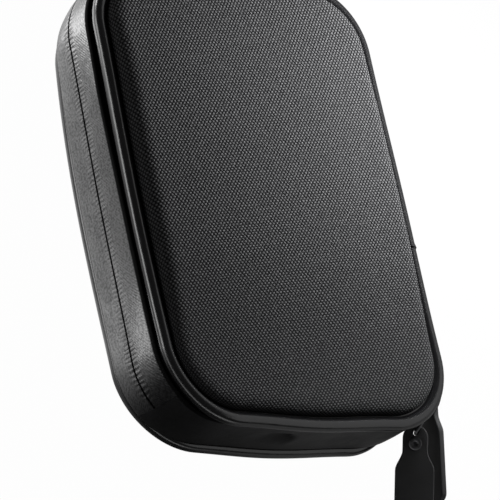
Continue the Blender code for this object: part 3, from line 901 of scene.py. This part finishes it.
def close_slot(sizes, co, from_slot):
    """Draw the tapes' edges together on the left and top, where no slider stands or travels."""
    reach, turn = 0.004, 0.03
    share = smooth_share((turn - co.x) / (2 * turn)) * max(1 - from_slot / reach, 0.0)
    co.z -= math.copysign(share * (ZIP_SLOT_HALF - sizes.slot), co.z - MID_Z)


class ZIPCASE_OT_zip_tapes(bpy.types.Operator):
    """Make the coated zip tapes, puckered along the slot"""

    bl_idname = "zip_case.zip_tapes"
    bl_label = "Zip Tapes"

    def execute(self, context):
        sizes = context.scene.zip_case_sizes
        coated = tape_finish(sizes, context.scene.zip_case_colours)
        ends = sizes.zip_end / (math.pi / 2)
        line = wall_line(sizes, sizes.tape, ZIP_SLOT_HALF)
        places = rim_places(sizes, -ends, 5 + ends, 40, 30)
        for name, half in HALVES.items():
            bm = sweep(band(line, sizes.tape), places, marks=groove_shade_marks(line, sizes.tape))
            if name == "front":
                raise_crest(bm, places)
            half_bmesh(bm, half)
            layer = bm.verts.layers.float.new("from_slot")
            for vert in bm.verts:
                vert[layer] = abs(vert.co.z - MID_Z) - ZIP_SLOT_HALF
                close_slot(sizes, vert.co, vert[layer])
            piece = add_piece(f"{name}_tape", bm, coated)
            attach(piece, half[0])
            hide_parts(f"{name}_zip_tape")
        return {"FINISHED"}


class ZIPCASE_OT_zip_coils(bpy.types.Operator):
    """Make the zip's nylon coils behind the tapes"""

    bl_idname = "zip_case.zip_coils"
    bl_label = "Zip Coils"

    def execute(self, context):
        sizes = context.scene.zip_case_sizes
        nylon = nylon_finish(context.scene.zip_case_colours)
        ends = sizes.zip_end / (math.pi / 2)
        wire, steps = 0.00022, 8
        places = rim_places(sizes, -ends, 5 + ends, 60, 40)
        out = WALL_BULGE - sizes.tape - CLEARANCE - COIL_RADIUS
        up = -(HALF_SPACING - ZIP_SLOT_HALF - COIL_RADIUS)
        turns = int(places[-1][1] / sizes.coil_pitch)
        radius = COIL_RADIUS - wire
        for name, half in HALVES.items():
            points = []
            for i in range(turns * steps):
                share = i / (turns * steps) * (len(places) - 1)
                index = int(share)
                near, far = places[index][0], places[index + 1][0]
                angle = 2 * math.pi * i / steps
                offset = Vector((out + radius * math.cos(angle), 0.0, up + radius * math.sin(angle)))
                points.append((near @ offset).lerp(far @ offset, share - index))
            curve = bpy.data.curves.new(f"{name}_coil", "CURVE")
            curve.dimensions = "3D"
            curve.bevel_depth = wire
            curve.bevel_resolution = 1
            curve.use_fill_caps = True
            add_spline(curve, points, False)
            piece = add_piece(f"{name}_coil", half_bmesh(curve_bmesh(curve), half), nylon)
            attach(piece, half[0])
            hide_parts(f"{name}_zip_coil")
        return {"FINISHED"}


def slacken(sizes, bm, places, ease):
    """Let the fold panel fall in between the pipings, with a dimple that ends in a crease."""
    station = bm.verts.layers.int["station"]
    length = places[-1][1]
    dimple_start, dimple_end, crease_end, dimple_tall, dimple_deep = -0.02, -0.0035, 0.0, 0.003, 0.0022
    for vert in bm.verts:
        place, run = places[vert[station]]
        local = place.inverted() @ vert.co
        share = smooth_share(min(run, length - run) / ease)
        dip = smooth_share((vert.co.x - dimple_start) / (dimple_end - dimple_start))
        dip *= 1 - smooth_share((vert.co.x - dimple_end) / (crease_end - dimple_end))
        up = (vert.co.z - MID_Z) / dimple_tall
        local.x -= share * sizes.slack * max(local.x, 0.0) / WALL_BULGE
        local.x -= dimple_deep * dip * math.exp(-up * up)
        vert.co = place @ local


class ZIPCASE_OT_fold_panel(bpy.types.Operator):
    """Make the fold at the lower end as one cloth"""

    bl_idname = "zip_case.fold_panel"
    bl_label = "Fold Panel"

    def execute(self, context):
        sizes = context.scene.zip_case_sizes
        cloth = panel_finish(context.scene.zip_case_colours)
        ends = sizes.zip_end / (math.pi / 2)
        gap = 0.1 * CLEARANCE / (sizes.corner_radius * math.pi / 2)
        line = wall_line(sizes, sizes.panel, 0.0)
        line += [(out, -2 * HALF_SPACING - up) for out, up in reversed(line[:-1])]
        places = rim_places(sizes, 5 + ends + gap, 8 - ends - gap, 60, 30)
        bm = sweep(band(line, sizes.panel), places, marks=groove_shade_marks(line, sizes.panel))
        ease = 0.2 * places[-1][1]
        raise_crest(bm, places, ease)
        bmesh.ops.translate(bm, vec=(0, 0, FRONT_RIM_Z), verts=bm.verts)
        slacken(sizes, bm, places, ease)
        for vert in bm.verts:
            settle(vert.co)
        piece = add_piece("fold_panel_cloth", bm, cloth)
        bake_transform(piece)
        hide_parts("rear_fold_panel", "front_fold_panel")
        return {"FINISHED"}


# Sliders, links and tabs


def tab_place(side):
    """The tab's matrix, X across, Y up and Z out of its face, with the origin on its joint's axis."""
    joint = JOINTS[f"{side}_tab_swing"]
    pivot = Vector(joint["pos_m"])
    low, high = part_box(f"{side}_tab_eyelet")
    up = (pivot - (Vector(low) + Vector(high)) / 2).normalized()
    across = Vector(joint["axis"]).normalized() * (1.0 if side == "upper" else -1.0)
    face = across.cross(up).normalized()
    turn = Matrix((across, face.cross(across), face)).transposed().to_4x4()
    return Matrix.Translation(pivot) @ turn


class ZIPCASE_OT_sliders(bpy.types.Operator):
    """Give the sliders their plated finish"""

    bl_idname = "zip_case.sliders"
    bl_label = "Sliders"

    def execute(self, context):
        metal = metal_finish(context.scene.zip_case_colours)
        for side in ("upper", "lower"):
            mesh = frame["nodes"][f"{side}_slider"].data
            mesh.materials.clear()
            mesh.materials.append(metal)
        return {"FINISHED"}


class ZIPCASE_OT_pull_links(bpy.types.Operator):
    """Make the wire loops between the sliders and the tabs"""

    bl_idname = "zip_case.pull_links"
    bl_label = "Pull Links"

    def execute(self, context):
        sizes = context.scene.zip_case_sizes
        metal = metal_finish(context.scene.zip_case_colours)
        top_half, foot_half, corner, steps = 0.0032, 0.0029, 0.0009, 4
        for side in ("upper", "lower"):
            swing = JOINTS[f"{side}_link_swing"]
            top = Vector(swing["pos_m"])
            top_axis = Vector(swing["axis"]).normalized()
            place = tab_place(side)
            foot, foot_axis = place.translation, place.to_3x3().col[2]
            ends = [top + top_half * top_axis, top - top_half * top_axis]
            ends += [foot - foot_half * foot_axis, foot + foot_half * foot_axis]
            points = []
            for i, end in enumerate(ends):
                before = end + (ends[i - 1] - end).normalized() * corner
                after = end + (ends[(i + 1) % 4] - end).normalized() * corner
                for step in range(steps + 1):
                    t = step / steps
                    points.append(before.lerp(end, t).lerp(end.lerp(after, t), t))
            curve = bpy.data.curves.new(f"{side}_wire", "CURVE")
            curve.dimensions = "3D"
            curve.bevel_depth = sizes.link_radius
            curve.bevel_resolution = 3
            add_spline(curve, points, True)
            piece = add_piece(f"{side}_wire_link", curve_bmesh(curve), metal)
            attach(piece, f"{side}_link_body")
            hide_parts(f"{side}_pull_link")
        return {"FINISHED"}


def tab_outlines(sizes):
    """The tab's edge, its window and its eyelet hole, measured from the window's top edge."""
    neck, half = sizes.tab_neck / 2, sizes.tab_width / 2
    top_bar, neck_end, shoulder_end, corner = 0.0016, 0.0069, 0.0135, 0.003
    right = arc(neck, math.pi / 2, 0.0, 16, (0.0, top_bar - neck))
    for i in range(17):
        share = i / 16
        ease = share * share * (3 - 2 * share)
        right.append((neck + (half - neck) * ease, -neck_end - (shoulder_end - neck_end) * share))
    right += arc(corner, 0.0, -math.pi / 2, 12, (half - corner, corner - sizes.tab_length))
    edge = right + [(-x, y) for x, y in reversed(right) if x > 1e-9]
    window = [(x * 0.00072, y * 0.00087 - 0.00105) for x, y in arc(1.0, 0.0, 2 * math.pi, 24)[:-1]]
    hole = arc(0.00168, 0.0, 2 * math.pi, 32, (0.0, -0.0046))[:-1]
    return edge, window, hole


class ZIPCASE_OT_pull_tabs(bpy.types.Operator):
    """Make the moulded rubber pull tabs with rounded edges"""

    bl_idname = "zip_case.pull_tabs"
    bl_label = "Pull Tabs"

    def execute(self, context):
        sizes = context.scene.zip_case_sizes
        rubber = rubber_finish(context.scene.zip_case_colours)
        edge_radius, play = 0.00045, 0.0005
        lift = Matrix.Translation((0.0, sizes.link_radius + play, 0.0))
        for side in ("upper", "lower"):
            curve = bpy.data.curves.new(f"{side}_tab", "CURVE")
            curve.dimensions = "2D"
            curve.fill_mode = "BOTH"
            curve.extrude = sizes.tab_thickness / 2 - edge_radius
            curve.bevel_depth = edge_radius
            curve.bevel_resolution = 3
            curve.offset = -edge_radius
            for outline in tab_outlines(sizes):
                add_spline(curve, outline, True)
            bm = curve_bmesh(curve, tab_place(side) @ lift)
            piece = add_piece(f"{side}_rubber_tab", bm, rubber)
            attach(piece, f"{side}_tab_body")
            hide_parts(f"{side}_pull_tab")
        return {"FINISHED"}


class ZIPCASE_OT_eyelets(bpy.types.Operator):
    """Make the rolled metal eyelets in the tabs' necks, each with a thin web"""

    bl_idname = "zip_case.eyelets"
    bl_label = "Eyelets"

    def execute(self, context):
        metal = metal_finish(context.scene.zip_case_colours)
        barrel, hole, flange, web = 0.0015, 0.00065, 0.0022, 0.0002
        flange_base, flange_rise = 0.00113, 0.0003
        for side in ("upper", "lower"):
            low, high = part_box(f"{side}_tab_eyelet")
            centre = (Vector(low) + Vector(high)) / 2
            place = Matrix.Translation(centre) @ tab_place(side).to_3x3().to_4x4()
            reach = (flange - hole) / 2
            roll = [(x * reach, y * flange_rise) for x, y in arc(1.0, math.pi, 0.0, 10)]
            roll = [(hole + reach + x, flange_base + y) for x, y in roll]
            ring = [(0.0, web), (hole, web), *roll, (barrel, flange_base)]
            ring += [(x, -y) for x, y in reversed(ring)]
            bm = bmesh.new()
            verts = [bm.verts.new((x, 0.0, y)) for x, y in ring]
            edges = [bm.edges.new(pair) for pair in zip(verts, verts[1:])]
            bmesh.ops.spin(
                bm,
                geom=verts + edges,
                axis=(0, 0, 1),
                cent=(0, 0, 0),
                angle=2 * math.pi,
                steps=32,
                use_merge=True,
            )
            bmesh.ops.remove_doubles(bm, verts=bm.verts, dist=1e-7)
            bmesh.ops.recalc_face_normals(bm, faces=bm.faces)
            bmesh.ops.transform(bm, matrix=place, verts=bm.verts)
            piece = add_piece(f"{side}_eyelet_ring", bm, metal)
            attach(piece, f"{side}_tab_body")
            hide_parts(f"{side}_tab_eyelet")
        return {"FINISHED"}


# Floor, light and camera


def add_lamp(name, place, aim, size, power, lights=True, mirrored=True):
    data = bpy.data.lights.new(name, "AREA")
    data.shape = "RECTANGLE"
    data.size, data.size_y = size
    data.energy = power
    lamp = bpy.data.objects.new(name, data)
    lamp.location = place
    lamp.visible_camera = False
    lamp.visible_diffuse = lights
    lamp.visible_glossy = mirrored
    lamp.rotation_euler = (Vector(aim) - Vector(place)).to_track_quat("-Z", "Y").to_euler()
    bpy.context.scene.collection.objects.link(lamp)


def floor_finish(colours):
    """Pale floor with the object's shadow, nearly white to the camera. In reflections it glows in patches set by
    position, a painted reflection on the tape and piping: bright towards the top end, dim towards the fold end and
    dimmer to the right, with a strip along the left side.
    """
    finish = Finish("pale_floor", colours.floor, 0.9)
    ray = finish.node("ShaderNodeLightPath")
    _, x, y, _ = finish.coordinates()
    mirrored = ray["Is Glossy Ray"].maths("MAXIMUM", ray["Is Transmission Ray"])
    # Painted reflection: the floor's glow for glossy rays, set by position to light what the tape and piping
    # reflect.
    far = y.between(-0.082, -0.05) * 0.33 + y.between(0.045, 0.08) * 0.64 + 0.03
    far = (far * (1.0 - x.between(0.0, 0.06))).maths("MAXIMUM", x.between(-0.05, 0.03) * 0.2)
    under_glow = x.between(-0.074, -0.067) * (1.0 - x.between(-0.05, -0.044)) * y.between(-0.065, -0.04)
    far = far.maths("MAXIMUM", under_glow)
    white = finish.node("ShaderNodeEmission", Strength=1.0)["Emission"]
    reflection_glow = finish.node("ShaderNodeEmission", Color=far)["Emission"]
    body = Value(finish, finish.shader.outputs["BSDF"])
    mixed = finish.node("ShaderNodeMixShader", (), (ray["Is Camera Ray"] * 0.985, body, white))["Shader"]
    mixed = finish.node("ShaderNodeMixShader", (), (mirrored, mixed, reflection_glow))["Shader"]
    finish.connect(finish.tree.nodes["Material Output"].inputs["Surface"], mixed)
    return finish.material


def white_world(fill):
    """White round the horizon to the camera and in reflections, and a dim even fill for everything else."""
    world = bpy.data.worlds.new("studio")
    world.use_nodes = True
    studio = Finish.__new__(Finish)
    studio.tree = world.node_tree
    ray = studio.node("ShaderNodeLightPath")
    mirrored = ray["Is Glossy Ray"].maths("MAXIMUM", ray["Is Transmission Ray"])
    _, side, _, rise = studio.coordinates("Generated")
    seen = ray["Is Camera Ray"].maths("MAXIMUM", mirrored * (1.0 - side.between(0.1, 0.5) * 0.8))
    white = seen * (1.0 - rise.between(0.1, 0.3))
    background = studio.tree.nodes["Background"]
    studio.connect(background.inputs["Color"], white * (1.0 - fill) + fill)
    bpy.context.scene.world = world


class ZIPCASE_OT_stage(bpy.types.Operator):
    """Add the floor, the lamps and the camera"""

    bl_idname = "zip_case.stage"
    bl_label = "Stage"

    def execute(self, context):
        view = context.scene.zip_case_view
        bm = bmesh.new()
        bmesh.ops.create_grid(bm, x_segments=1, y_segments=1, size=3.0)
        bmesh.ops.translate(bm, vec=(0, 0, CAD_BOX[0][2] - CLEARANCE), verts=bm.verts)
        add_piece("floor", bm, floor_finish(context.scene.zip_case_colours))
        white_world(0.035)
        middle = (0.0, 0.0, MID_Z)
        add_lamp("key_light", (0.122, 0.055, 0.113), middle, (0.12, 0.12), 0.66, mirrored=False)
        add_lamp("left_fill", (-0.6, 0.0, 0.15), middle, (0.4, 0.2), 0.2, mirrored=False)
        add_lamp("right_panel", (0.6, -0.08, 0.57), middle, (1.35, 0.7), 1.0, lights=False)
        add_lamp("left_strip", (-0.74, 0.3, 0.13), middle, (0.5, 0.25), 0.7, lights=False)
        add_lamp("back_strip", (-0.5, 0.85, 0.1), middle, (0.3, 0.2), 1.2, lights=False)
        add_lamp("left_glow", (-0.083, 0.09, 0.003), (-0.083, 0.09, 0.1), (0.045, 0.045), 0.0125, lights=False)
        add_lamp("low_glow", (-0.086, -0.037, 0.003), (-0.086, -0.037, 0.1), (0.022, 0.022), 0.0019, lights=False)
        data = bpy.data.cameras.new("camera")
        data.lens = view.lens
        data.sensor_width = view.sensor
        camera = bpy.data.objects.new("camera", data)
        camera.location = view.place
        camera.rotation_euler = view.heading
        context.scene.collection.objects.link(camera)
        context.scene.camera = camera
        context.scene.view_settings.view_transform = "Standard"
        return {"FINISHED"}


PIECES = (
    ZIPCASE_OT_faces,
    ZIPCASE_OT_linings,
    ZIPCASE_OT_pipings,
    ZIPCASE_OT_bindings,
    ZIPCASE_OT_zip_tapes,
    ZIPCASE_OT_zip_coils,
    ZIPCASE_OT_fold_panel,
    ZIPCASE_OT_sliders,
    ZIPCASE_OT_pull_links,
    ZIPCASE_OT_pull_tabs,
    ZIPCASE_OT_eyelets,
    ZIPCASE_OT_stage,
)


class ZIPCASE_PT_sidebar(bpy.types.Panel):
    """Lists the pieces of the case with their sizes and colours"""

    bl_idname = "ZIPCASE_PT_sidebar"
    bl_label = "Zip Case"
    bl_space_type = "VIEW_3D"
    bl_region_type = "UI"
    bl_category = "Zip Case"

    def draw(self, context):
        for operator in PIECES:
            self.layout.operator(operator.bl_idname)
        for group in (context.scene.zip_case_sizes, context.scene.zip_case_colours, context.scene.zip_case_view):
            column = self.layout.column(align=True)
            for name in group.__annotations__:
                column.prop(group, name)


CLASSES = (ZipCaseSizes, ZipCaseColours, ZipCaseView, *PIECES, ZIPCASE_PT_sidebar)


def register():
    for item in CLASSES:
        bpy.utils.register_class(item)
    bpy.types.Scene.zip_case_sizes = PointerProperty(type=ZipCaseSizes)
    bpy.types.Scene.zip_case_colours = PointerProperty(type=ZipCaseColours)
    bpy.types.Scene.zip_case_view = PointerProperty(type=ZipCaseView)


def unregister():
    del bpy.types.Scene.zip_case_view
    del bpy.types.Scene.zip_case_colours
    del bpy.types.Scene.zip_case_sizes
    for item in reversed(CLASSES):
        bpy.utils.unregister_class(item)


def main():
    register()
    for operator in PIECES:
        group, name = operator.bl_idname.split(".")
        getattr(getattr(bpy.ops, group), name)()


if __name__ == "__main__":
    main()
